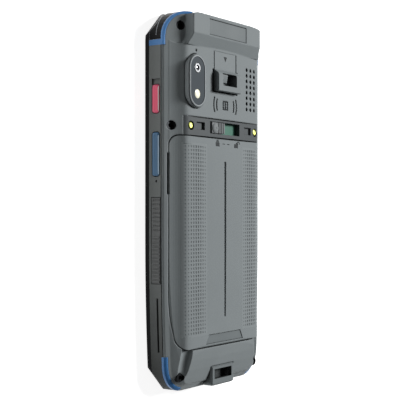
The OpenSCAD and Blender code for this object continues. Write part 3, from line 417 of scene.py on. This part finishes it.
# %% Guards, glass and lenses
finishes.update({
    # the corner guards get a full pale edge: a painted highlight
    "black_gloss": glossy("black_corner_guard", (9, 10, 12), 0.3, 0.08, edge=1.0, bevel=0.45,
                          shine=0.1),
    # a pale rib on the corner guards: a painted highlight
    "guard_rib": glossy("pale_guard_rib", (150, 156, 164), 0.25, 0.5, 0.05),
    # pale beads on the side keys: painted highlights
    "red_bead": glossy("pale_red_key_bead", (255, 226, 224), 0.2, 0.6, 0.05),
    "blue_bead": glossy("pale_blue_key_bead", (186, 214, 238), 0.2, 0.6, 0.05),
    "glass": glossy("smoked_screen_glass", (8, 9, 11), 0.05, 1.0, 0.05),
    "camera_cover": glossy("grey_camera_cover", (66, 74, 80), 0.4, 0.0, 0.05, edge=0.25,
                           shine=0.05),
    "lens": glossy("lens_barrel", (20, 22, 26), 0.12, 0.8, 0.05, edge=0.3),
    # the pale ring round the lens is a painted reflection
    "lens_ring": glossy("pale_lens_ring", (214, 218, 222), 0.22, 0.6, 0.05),
    "lens_glass": glossy("dark_lens_glass", (10, 12, 18), 0.03, 1.0, 0.02),
    "flash": glossy("flash_cover", (255, 252, 218), 0.25, 0.6, 0.05),
    "scan_red": glossy("dark_red_scan_window", (74, 6, 12), 0.06, 0.4, 0.03, shine=0.25),
})
# Painted light: the flash cover glows faintly, though it is no lamp.
flash_glow_shader = finishes["flash"].node_tree.nodes["Principled BSDF"]
flash_glow_shader.inputs["Emission Color"].default_value = (1, 0.97, 0.75, 1)
flash_glow_shader.inputs["Emission Strength"].default_value = 0.25
print("with the glossy ones:", len(finishes))

# %% [markdown]
# Metals are brushed or plated. Anisotropic shading could fake the brush marks,
# but a noise that is stretched along one axis shows them from every side and
# also roughens the surface a little, so that is what `metal` does. The circuit
# boards get their tracks from the borders of Voronoi cells.

# %% Metals and the boards
EVEN, BRUSHED = (1.0, 1.0, 1.0), (1.0, 0.06, 1.0)
DULL_SHADE = 0.72


def metal(name, colour, rough, streak):
    f = Finish(name, rough, metal=1.0)
    base = paint(*colour)
    lines = f.noise(1500.0, rough=0.6, stretch=streak)
    f.link("Base Color", f.mix(f.span(lines, MOST_NOISE, UP), scaled(base, DULL_SHADE), base))
    stains = f.noise(120.0, detail=4.0)
    f.link("Roughness", f.span(stains, MOST_NOISE, (rough - 0.08, rough + 0.12)))
    f.relief(lines, strength=0.25, depth=0.02, normal=f.rounded(0.12))
    return f.mat


def circuit_board(name):
    f = Finish(name, 0.45, coat=0.5)
    cell = f.add("ShaderNodeTexVoronoi", {"Vector": f.place, "Scale": 420.0},
                 feature="DISTANCE_TO_EDGE")
    track = f.span(cell.outputs["Distance"], (0.02, 0.08), DOWN)
    f.link("Base Color", f.mix(track, paint(20, 72, 48), paint(48, 118, 78)))
    f.relief(track, strength=0.4, depth=0.03)
    return f.mat


finishes.update({
    "gold": metal("plated_contact_gold", (226, 232, 128), 0.28, EVEN),
    "screw_steel": metal("blackened_screw_steel", (44, 46, 48), 0.38, EVEN),
    "steel": metal("bright_sheet_steel", (188, 192, 196), 0.30, BRUSHED),
    "board": circuit_board("green_circuit_board"),
})
print("all finishes:", len(finishes))

# %% [markdown]
# The solids could be dressed one by one, but each of them already carries a
# material slot that is named after its finish in the CAD record, so one loop
# dresses them all. The solids keep their meshes, and only their slots change.
# A few get a finish of their own, because the record has no slot that fits.

# %% Dress the solids
own_finish = {"pack_cover": "cover_shell", "lock_slider": "slider",
              "camera_window": "camera_cover", "strap_anchor": "strap_grey"}
used = set()
for name, node in NODES.items():
    for place in node.material_slots:
        key = own_finish.get(name, place.material.name.split(".")[0])
        place.material = finishes[key]
        used.add(key)
print("dressed:", len(NODES), "solids with", len(used), "finishes:", sorted(used))

# %% [markdown]
# The studio is a white sweep. A second lamp could fill the shadows, but a
# large white floor does it more softly: it glows a little, so that it lights
# the flanks from below and still takes a soft shadow. The camera sees it
# brighter than the terminal does, through the Light Path node, so the
# background is white without more light on the plastic.

# %% Floor
GLOW, GLOW_SEEN = 0.5, 0.89
FLOOR_REACH, FLOOR_GAP = 4.0, 0.2 * MM
FLOOR_DARK, FLOOR_PALE = (0.78, 0.78, 0.78, 1), (0.82, 0.82, 0.82, 1)


def pale_floor():
    shape = bmesh.new()
    bmesh.ops.create_grid(shape, x_segments=1, y_segments=1, size=FLOOR_REACH)
    mesh = bpy.data.meshes.new("studio_floor")
    shape.to_mesh(mesh)
    shape.free()
    floor = bpy.data.objects.new("studio_floor", mesh)
    floor.location = (0, 0, -FLOOR_GAP)
    bpy.context.scene.collection.objects.link(floor)
    f = Finish("white_studio_floor", 0.9)
    f.link("Base Color", f.mix(f.span(f.noise(3.0), MOST_NOISE, UP), FLOOR_DARK, FLOOR_PALE))
    f.shader.inputs["Emission Color"].default_value = (1, 1, 1, 1)
    seen = f.add("ShaderNodeLightPath").outputs["Is Camera Ray"]
    f.link("Emission Strength", f.span(seen, UP, (GLOW, GLOW_SEEN)))
    mesh.materials.append(f.mat)


pale_floor()
print("floor glows", GLOW, "and looks", GLOW_SEEN)

# %% [markdown]
# One square soft lamp hangs above the back, to the right and towards the
# scanner end, so the left flank falls into shade and the edges get their
# bright line. Lamps all round would be safe and dull: they would flatten the
# grain. The sky is even and weak. The camera sees it white as well, while the
# terminal gets only a little light from it.

# %% Lamp and sky
def soft_light(name, place, side, power):
    data = bpy.data.lights.new(name, "AREA")
    data.shape = "RECTANGLE"
    data.size = data.size_y = side
    data.energy = power
    lamp = bpy.data.objects.new(name, data)
    bpy.context.scene.collection.objects.link(lamp)
    lamp.location = place
    lamp.rotation_euler = (-Vector(place)).to_track_quat("-Z", "Y").to_euler()


def pale_sky(light_on_object):
    world = bpy.data.worlds.new("studio_sky")
    bpy.context.scene.world = world
    world.use_nodes = True
    nodes, links = world.node_tree.nodes, world.node_tree.links
    sky = nodes["Background"]
    sky.inputs["Color"].default_value = (1, 1, 1, 1)
    level = nodes.new("ShaderNodeMapRange")
    level.inputs["To Min"].default_value = light_on_object
    links.new(nodes.new("ShaderNodeLightPath").outputs["Is Camera Ray"], level.inputs["Value"])
    links.new(level.outputs["Result"], sky.inputs["Strength"])


soft_light("key_light", place=(1.90, 0.85, 2.15), side=0.9, power=94.0)
pale_sky(light_on_object=0.06)
bpy.context.scene.view_settings.view_transform = "Standard"

# %% [markdown]
# The camera looks at the back from the left side, about 35 degrees above the
# floor, and is rolled so that the scanner end is up. It could be aimed with a
# Track To constraint, but that would decide the roll by itself, so the three
# axes of the camera are written down instead. A 90 mm lens keeps the calm
# perspective of a product shot.

# %% Camera
LOOKS_ALONG = Vector((0.8141, 0.0, -0.5807))
SCANNER_END = Vector((0.0, 1.0, 0.0))
STANDS_AT = (-0.3791, -0.00415, 0.2727)


def product_camera():
    data = bpy.data.cameras.new("product_camera")
    data.lens = 90.0
    data.sensor_width = 36.0
    data.shift_y = 0.028
    camera = bpy.data.objects.new("product_camera", data)
    bpy.context.scene.collection.objects.link(camera)
    right = LOOKS_ALONG.cross(SCANNER_END)
    turn = Matrix((right, SCANNER_END, -LOOKS_ALONG)).transposed().to_4x4()
    camera.matrix_world = Matrix.Translation(STANDS_AT) @ turn
    bpy.context.scene.camera = camera


product_camera()
print("camera at", STANDS_AT)

# %% [markdown]
# From here on come the details that are too fine for the solids. Some of them
# are pale pieces that paint highlights and a reflection, and black sleeves
# that paint shade. Bump could hint at them, but it stays flat at the outline
# and is lost in other programs, so each one is a closed mesh built point by
# point with bmesh.
# `finish_piece` turns the faces outward, makes the object, gives it its finish
# and tells the frame which body it rides on, so that it follows when the body
# moves.


def finish_piece(shape, name, body, *slots):
    bmesh.ops.recalc_face_normals(shape, faces=shape.faces[:])
    mesh = bpy.data.meshes.new(name)
    shape.to_mesh(mesh)
    shape.free()
    for slot in slots:
        mesh.materials.append(finishes[slot])
    piece = bpy.data.objects.new(name, mesh)
    bpy.context.scene.collection.objects.link(piece)
    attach(piece, body)
    print(name, len(mesh.polygons), "faces on", body)


# %% [markdown]
# Nearly every detail is a skin over a row of rings. A lip or a sleeve is a
# loop that closes on itself, and a block or a rod has a cap on each end. So
# one function, `skin`, joins the rings of them all. Points are given in
# millimetres.

# %% Skins over rings
def point(shape, x, y, z):
    return shape.verts.new((x * MM, y * MM, z * MM))


def skin(shape, rings, loop=False, smooth=False):
    ends = rings[1:] + rings[:1] if loop else rings[1:]
    for here, there in zip(rings, ends):
        for i in range(len(here)):
            j = (i + 1) % len(here)
            shape.faces.new((here[i], there[i], there[j], here[j])).smooth = smooth
    if not loop:
        shape.faces.new(rings[0])
        shape.faces.new(rings[-1][::-1])


def prism(shape, outline, low, high):
    """A closed block over a flat outline."""
    skin(shape, [[point(shape, x, y, z) for x, y in outline] for z in (low, high)])


def turned(shape, centre, profile, steps=32, straight=0.0, smooth=False):
    """A ring: the profile of (radius, height) points goes once round the centre.
    With a straight part, the round is drawn out along y, into a pill."""
    rings = []
    for i in range(steps):
        a = 2 * math.pi * (i + (0.5 if straight else 0.0)) / steps
        cx, cy = centre[0], centre[1] + math.copysign(straight, math.sin(a))
        rings.append([point(shape, cx + r * math.cos(a), cy + r * math.sin(a), z)
                      for r, z in profile])
    skin(shape, rings, loop=True, smooth=smooth)


print("skins ready")

# %% [markdown]
# A piece that lies on the shell has to know where the shell is. The height
# could be worked out from the drawing, but a ray that is sent down onto the
# solid finds the true surface, also where it is crowned or sloped. `meet` does
# that in any direction, and `floor_under` straight down.

# %% Feel for the surface
HIGH_ABOVE = 50.0


def meet(node, start, direction):
    hit, spot, _, _ = NODES[node].ray_cast(Vector(start) * MM, Vector(direction))
    if not hit:
        raise SystemExit("a ray misses " + node)
    return spot / MM


def floor_under(node, x, y):
    return meet(node, (x, y, HIGH_ABOVE), (0, 0, -1)).z


print("plateau of the pack:", round(floor_under("pack_cover", 8, 0), 2), "mm")

# %% [markdown]
# The grip strips of the pack are two long plates with nine columns of square
# pits. An Array modifier could repeat one pit, but the pits shrink towards
# both sides of the strip, so that it fades out over the shoulder, and they
# follow a crown. So the strip is laid out as a grid first: the lines between
# the pits, in millimetres, for the right strip. The left one mirrors it.

# %% The grid of the grip strips
PIT_SIZES = (0.34, 0.46, 0.57, 0.60, 0.60, 0.56, 0.48, 0.40, 0.32)
COLUMNS = len(PIT_SIZES)
STRIP_WIDTH, STRIP_OUT = 15.15, HALF_W - 8.43
STRIP_LOW, STRIP_HIGH = BAY_TOP - 87.8, BAY_TOP - 4.1
BARE_CROWN, ROUNDING = STRIP_HIGH + 1.2, 1e-6
ROWS = round((STRIP_HIGH - STRIP_LOW) / 1.69)
STEP_X, STEP_Y = STRIP_WIDTH / COLUMNS, (STRIP_HIGH - STRIP_LOW) / ROWS
LINES_X = [STRIP_OUT - STRIP_WIDTH + i * STEP_X for i in range(COLUMNS + 1)]
LINES_Y = [STRIP_LOW + i * STEP_Y for i in range(ROWS + 1)]


def crown_height(side, x, y):
    """The solid has a shallow seat under the strip. There the height is read
    from the bare crown just beyond the strip's upper end."""
    over_seat = (LINES_X[0] <= x <= LINES_X[-1] + ROUNDING
                 and LINES_Y[0] <= y <= LINES_Y[-1] + ROUNDING)
    return floor_under("pack_cover", side * x, BARE_CROWN if over_seat else y)


print("pits in a strip:", COLUMNS * ROWS)

# %% [markdown]
# A pit could be drawn with a bump map, but then it would vanish at a low
# angle, so it is cut into the mesh. Its mouth is joined to the four corners
# of its cell, and its floor is smaller than its mouth, so that the walls
# slope as they do in a mould. The narrow pits are shallower too.

# %% One pit
LIP, PROUD, SUNK, DEEPEST = 0.75, 0.012, 0.5, 0.17
SQUARE = ((-1, -1), (1, -1), (1, 1), (-1, 1))


def on_crown(shape, side, x, y, above):
    return point(shape, side * x, y, crown_height(side, x, y) + above)


def quad(shape, corner, slot=0, soft=False):
    face = shape.faces.new(corner)
    face.material_index, face.smooth = slot, soft


def pit(shape, side, column, row, cell):
    cx, cy = LINES_X[column] + STEP_X / 2, LINES_Y[row] + STEP_Y / 2
    half = PIT_SIZES[column]
    deep = DEEPEST * half / max(PIT_SIZES)
    mouth, base = [[on_crown(shape, side, cx + sx * wide * half, cy + sy * tall * half, above)
                    for sx, sy in SQUARE]
                   for wide, tall, above in ((0.85, 1.0, PROUD), (0.55, 0.65, PROUD - deep))]
    for i in range(4):
        j = (i + 1) % 4
        quad(shape, (cell[i], cell[j], mouth[j], mouth[i]), soft=True)
        # the walls and floor of a pit take the darker grey: painted shade
        quad(shape, (mouth[i], mouth[j], base[j], base[i]), slot=1)
    quad(shape, base, slot=1)


print("deepest pit:", DEEPEST, "mm, narrowest mouth:", 2 * min(PIT_SIZES), "mm")

# %% [markdown]
# A plate is one closed mesh: an even underside, a thin lip that lies flush on
# the cover all round, and a top that dips at every pit. It could be laid on
# the cover with a Shrinkwrap modifier, but the heights are already known at
# every corner. Only the top is shaded smooth, and every edge beside a flat
# face stays sharp.

# %% Grip plates of the pack
def pit_plate(name, side):
    shape = bmesh.new()
    across = [LINES_X[0] - LIP, *LINES_X, LINES_X[-1] + LIP]
    along = [LINES_Y[0] - LIP, *LINES_Y, LINES_Y[-1] + LIP]
    under, top = [[[on_crown(shape, side, x, y, above) for x in across] for y in along]
                  for above in (-SUNK, PROUD)]
    for r in range(ROWS + 2):
        for c in range(COLUMNS + 2):
            cell = [(r, c), (r, c + 1), (r + 1, c + 1), (r + 1, c)]
            quad(shape, [under[i][j] for i, j in reversed(cell)])
            upper = [top[i][j] for i, j in cell]
            if r in (0, ROWS + 1) or c in (0, COLUMNS + 1):
                quad(shape, upper, soft=True)
            else:
                pit(shape, side, c - 1, r - 1, upper)
    for r in range(ROWS + 2):
        for c in (0, COLUMNS + 2):
            quad(shape, (under[r][c], under[r + 1][c], top[r + 1][c], top[r][c]))
    for c in range(COLUMNS + 2):
        for r in (0, ROWS + 2):
            quad(shape, (under[r][c], under[r][c + 1], top[r][c + 1], top[r][c]))
    for edge in shape.edges:
        edge.smooth = all(face.smooth for face in edge.link_faces)
    # lighter lands are painted highlight, darker pits painted shade
    finish_piece(shape, name, "pack", "grip_lit_lands", "pit")


pit_plate("pack_grip_plate_left", -1)
pit_plate("pack_grip_plate_right", 1)

# %% [markdown]
# The marks on a real shell are filled or printed with dark paint. Paint could
# be a second colour in the shell's finish, but a mask for such thin lines
# would blur, so the paint is made of thin blocks with crisp outlines: `bar` is
# a straight one and `bow` a curved one, from one angle to another in degrees.

# %% Outlines for paint
def bar(x0, x1, y0, y1):
    return [(x0, y0), (x1, y0), (x1, y1), (x0, y1)]


def bow(centre, inner, outer, start, end, steps=10):
    angles = [math.radians(start + (end - start) * i / steps) for i in range(steps + 1)]
    return [(centre[0] + radius * math.cos(a), centre[1] + radius * math.sin(a))
            for radius, turn in ((outer, angles), (inner, angles[::-1])) for a in turn]


def printed(shape, outline, top, thick=0.03):
    """A film of paint on the surface, sunk a little so that it never floats."""
    prism(shape, outline, top - 0.06, top + thick)


print("a bow of ten steps has", len(bow((0, 0), 1, 2, 0, 90)), "corners")

# %% [markdown]
# The wave mark sits between the strap anchor and the latch: a small window
# with waves to both sides. Its frame and its waves are engraved in the solid,
# so the paint only has to fill the grooves, a little below the plateau. Three
# short bars are printed on each of the two islands inside the frame, where no
# groove could be that fine.

# %% Paint of the wave mark
MARK_Y = corners("latch_band")[1].y + 6.5
GROOVE_FLOOR, FILLING = PLATEAU - 0.46, 0.12
FRAME_BARS = ((-2.2, -1.5, -2.1, 2.1), (1.5, 2.2, -2.1, 2.1), (-1.5, 1.5, 1.4, 2.1),
              (-1.5, 1.5, -2.1, -1.4), (-0.35, 0.35, -1.4, 1.4))
WAVE_RADII, WAVE_HALF = (7.0, 9.2), 0.42
WAVE_REACH = math.degrees(math.asin(0.36))
ISLANDS, ISLAND_BARS = (-0.92, 0.92), (-0.75, 0.0, 0.75)


def wave_mark():
    shape = bmesh.new()
    outlines = [bar(x0, x1, MARK_Y + y0, MARK_Y + y1) for x0, x1, y0, y1 in FRAME_BARS]
    outlines += [bow((0, MARK_Y), radius - WAVE_HALF, radius + WAVE_HALF,
                     middle - WAVE_REACH, middle + WAVE_REACH)
                 for radius in WAVE_RADII for middle in (0, 180)]
    for outline in outlines:
        prism(shape, outline, GROOVE_FLOOR, GROOVE_FLOOR + FILLING)
    for x in ISLANDS:
        for y in (MARK_Y + shift for shift in ISLAND_BARS):
            printed(shape, bar(x - 0.45, x + 0.45, y - 0.16, y + 0.16),
                    floor_under("rear_housing", x, y))
    finish_piece(shape, "wave_mark_paint", "terminal", "mark")


wave_mark()

# %% [markdown]
# Two padlocks with two dashes between them are printed on the pack under the
# latch: a closed one, and an open one whose shackle has moved aside. A font
# has such signs, but drawing them from a bar and a bow keeps them closed
# meshes of a few faces. The shackle's film is a hair thinner than the body's,
# because two films at one height would flicker. The arrow on the strap anchor
# is a filled triangle in its groove.

# %% Paint of the padlocks and the arrow
PADLOCKS = ((-6, 0.0), (9, 1.9))  # the x of each, and how far its shackle has moved
BESIDE_LOCK = 2.8  # the height is felt out beside the mark
DASHES = (-1.2, 2.4)


def lock_marks():
    shape = bmesh.new()
    y = BAY_TOP - 2.5
    for x, moved in PADLOCKS:
        top = floor_under("pack_cover", x - BESIDE_LOCK, y)
        printed(shape, bar(x - 1.6, x + 1.6, y - 1.45, y + 0.3), top)
        printed(shape, bow((x + moved, y + 0.3), 0.85, 1.35, 0, 180, steps=8), top, thick=0.025)
    for x in DASHES:
        printed(shape, bar(x - 0.9, x + 0.9, y - 0.35, y), floor_under("pack_cover", x, y))
    finish_piece(shape, "lock_mark_paint", "pack", "mark")


def anchor_arrow():
    shape = bmesh.new()
    y, low = corners("strap_anchor")[1].y - 2.6, PLATEAU - 0.51
    prism(shape, [(0.0, y - 1.45), (1.25, y + 0.72), (-1.25, y + 0.72)], low, low + 0.3)
    finish_piece(shape, "anchor_arrow_paint", "terminal", "mark")


lock_marks()
anchor_arrow()

# %% [markdown]
# The case screws sit deep in their wells, and a black sleeve lines each well
# down to the screw head: painted shade, so that the well looks black inside.
# A plain tube would stand out of the shell on one side, because the mouth of
# a well is higher towards the middle of the case. So the upper rim of the
# sleeve follows the mouth, felt out by rays.

# %% Black sleeves that paint the shade in the screw wells
WELL_RADIUS, SLEEVE_WALL = 2.03, 0.07
BELOW_HEAD, BELOW_MOUTH = 0.4, 0.06
BESIDE_WELL = (WELL_RADIUS + 0.07, WELL_RADIUS + 0.17)  # the mouth is felt out here
BESIDE_SOCKET = 1.5  # a screw head is flat this far from its middle
SCREWS_RIGHT = ((30.1, 76.75), (34.6, 33.05), (29.9, -76.65))
SCREWS = [(side * x, y) for side in (-1, 1) for x, y in SCREWS_RIGHT]


def well_shade_sleeve(name, cx, cy, steps=40):
    shape = bmesh.new()
    low = floor_under("housing_screws", cx + BESIDE_SOCKET, cy) - BELOW_HEAD
    inner = WELL_RADIUS - SLEEVE_WALL
    rings = []
    for i in range(steps):
        dx, dy = math.cos(2 * math.pi * i / steps), math.sin(2 * math.pi * i / steps)
        rim = min(floor_under("rear_housing", cx + r * dx, cy + r * dy)
                  for r in BESIDE_WELL) - BELOW_MOUTH
        section = ((WELL_RADIUS, low), (WELL_RADIUS, rim), (inner, rim), (inner, low))
        rings.append([point(shape, cx + r * dx, cy + r * dy, z) for r, z in section])
    skin(shape, rings, loop=True)
    # the black sleeve is painted shade inside the well
    finish_piece(shape, name, "terminal", "rubber")


for number, (cx, cy) in enumerate(SCREWS, 1):
    well_shade_sleeve("well_sleeve_%d" % number, cx, cy)

# %% [markdown]
# The glossy corner guards get a fine pale rib, a painted highlight. A
# straight bar can't follow their round, so the rib is swept along the guard in
# small turns, and every point is found by a ray that meets the guard from
# outside. The section is (out, up) from there, and its back is sunk in.

# %% Pale ribs of the corner guards, a painted highlight
RIB_Z, RIB_SECTION = 6.2, ((-0.3, 0.0), (0.05, 0.06), (0.05, 0.34), (-0.3, 0.4))
RIB_FROM, RIB_TURN, RIB_STEPS = 8, 74, 24
FAR_OUT = 30.0


def guard_rib(label, side):
    guard = "bumper_" + label
    low, high = corners(guard)
    centre = Vector((high.x if side < 0 else low.x, low.y, RIB_Z))
    shape = bmesh.new()
    rings = []
    for i in range(RIB_STEPS + 1):
        a = math.radians(RIB_FROM + RIB_TURN * i / RIB_STEPS)
        away = Vector((side * math.cos(a), math.sin(a), 0))
        spot = meet(guard, centre + away * FAR_OUT, -away)
        rings.append([point(shape, *(spot + away * out + Vector((0, 0, up))))
                      for out, up in RIB_SECTION])
    skin(shape, rings)
    finish_piece(shape, "guard_rib_" + label, "terminal", "guard_rib")


guard_rib("left", -1)
guard_rib("right", 1)

# %% [markdown]
# Each coloured side key has a pale bead along its upper edge, a painted
# highlight. The bead is a slim rod with tapered ends, sunk into the key's face,
# because a tube of even thickness would end in two blunt discs. It rides on
# the key, so it goes in when the key is pressed.

# %% Pale beads of the side keys, a painted highlight
BEAD_ENDS = ((1.4, 0.3), (1.65, 0.75), (2.1, 1.0))
BEAD_OUT, BEAD_UP, BEAD_SIDES = 0.22, 0.38, 10
BELOW_TOP, SUNK_IN, BESIDE_CASE = 0.45, 0.12, 60.0


def key_highlight_bead(key, body, side, slot):
    low, high = corners(key)
    middle = (low.y + high.y) / 2
    face = meet(key, (side * BESIDE_CASE, middle, high.z - BELOW_TOP), (-side, 0, 0))
    out = abs(face.x) - SUNK_IN
    shape = bmesh.new()
    rings = []
    for y, wide in ([(low.y + inset, wide) for inset, wide in BEAD_ENDS]
                    + [(high.y - inset, wide) for inset, wide in reversed(BEAD_ENDS)]):
        angles = [2 * math.pi * i / BEAD_SIDES for i in range(BEAD_SIDES)]
        rings.append([point(shape, side * (out + BEAD_OUT * wide * math.cos(a)), y,
                            face.z + BEAD_UP * wide * math.sin(a)) for a in angles])
    skin(shape, rings, smooth=True)
    finish_piece(shape, key + "_bead", body, slot)


key_highlight_bead("function_key", "red_button", -1, "red_bead")
key_highlight_bead("scan_key_left", "scan_button_left", -1, "blue_bead")
key_highlight_bead("scan_key_right", "scan_button_right", 1, "blue_bead")

# %% [markdown]
# The camera gets a pale ring round the lens, a painted reflection, a dark
# front glass inside it, and a bright lip where the bezel meets the cover, a
# painted highlight. All of them could be lathed with a Screw modifier.
# `turned` does the same in one call and leaves a finished closed mesh.
# Profiles are (radius, height) pairs from the top.

# %% Camera trim
RING_PROFILE = ((1.12, -0.30), (1.18, -0.02), (1.30, 0.04), (1.92, 0.04), (2.02, -0.02),
                (2.02, -0.15), (1.6, -0.30))
GLASS_PROFILE = ((1.08, -0.55), (1.08, -0.34), (0.85, -0.25), (0.5, -0.19), (0.02, -0.17),
                 (0.02, -0.55))
LIP_PROFILE = ((0.02, -0.4), (0.02, 0.03), (0.34, 0.03), (0.34, -0.2))


def turned_piece(name, body, slot, centre, top, profile, radius=0.0, **how):
    shape = bmesh.new()
    turned(shape, centre, [(radius + r, top + z) for r, z in profile], **how)
    finish_piece(shape, name, body, slot)


low, high = corners("camera_lens")
lens_centre = (low + high) / 2
turned_piece("lens_ring", "terminal", "lens_ring", lens_centre, high.z, RING_PROFILE)
turned_piece("lens_front_glass", "terminal", "lens_glass", lens_centre, high.z, GLASS_PROFILE,
             steps=24)
low, high = corners("camera_window")
round_end = (high.x - low.x) / 2
# a painted highlight where the bezel meets the cover
turned_piece("bezel_lip", "terminal", "bezel_lip_highlight", (low + high) / 2, corners("camera_bezel")[1].z,
             LIP_PROFILE, round_end, steps=48, straight=(high.y - low.y) / 2 - round_end)

# %% [markdown]
# The thumb pushes the lock by a low round dome on its flat end. A squashed
# sphere would meet the slider at the wrong angle, so the dome is turned like
# the lens parts. It is shaded smooth, so that a few rings are enough for an
# even highlight, and it slides with the lock.

# %% Thumb dome of the lock
DOME_PROFILE = ((0.02, -0.5), (1.2, -0.5), (2.35, -0.1), (2.3, 0.06), (2.0, 0.26), (1.5, 0.42),
                (0.9, 0.52), (0.02, 0.56))
FROM_END = 2.5
low, high = corners("lock_slider")
turned_piece("lock_thumb_dome", "lock", "thumb_grey",
             (low.x + FROM_END, (low.y + high.y) / 2), high.z, DOME_PROFILE, steps=40, smooth=True)

# %% End
print("the scene is built")
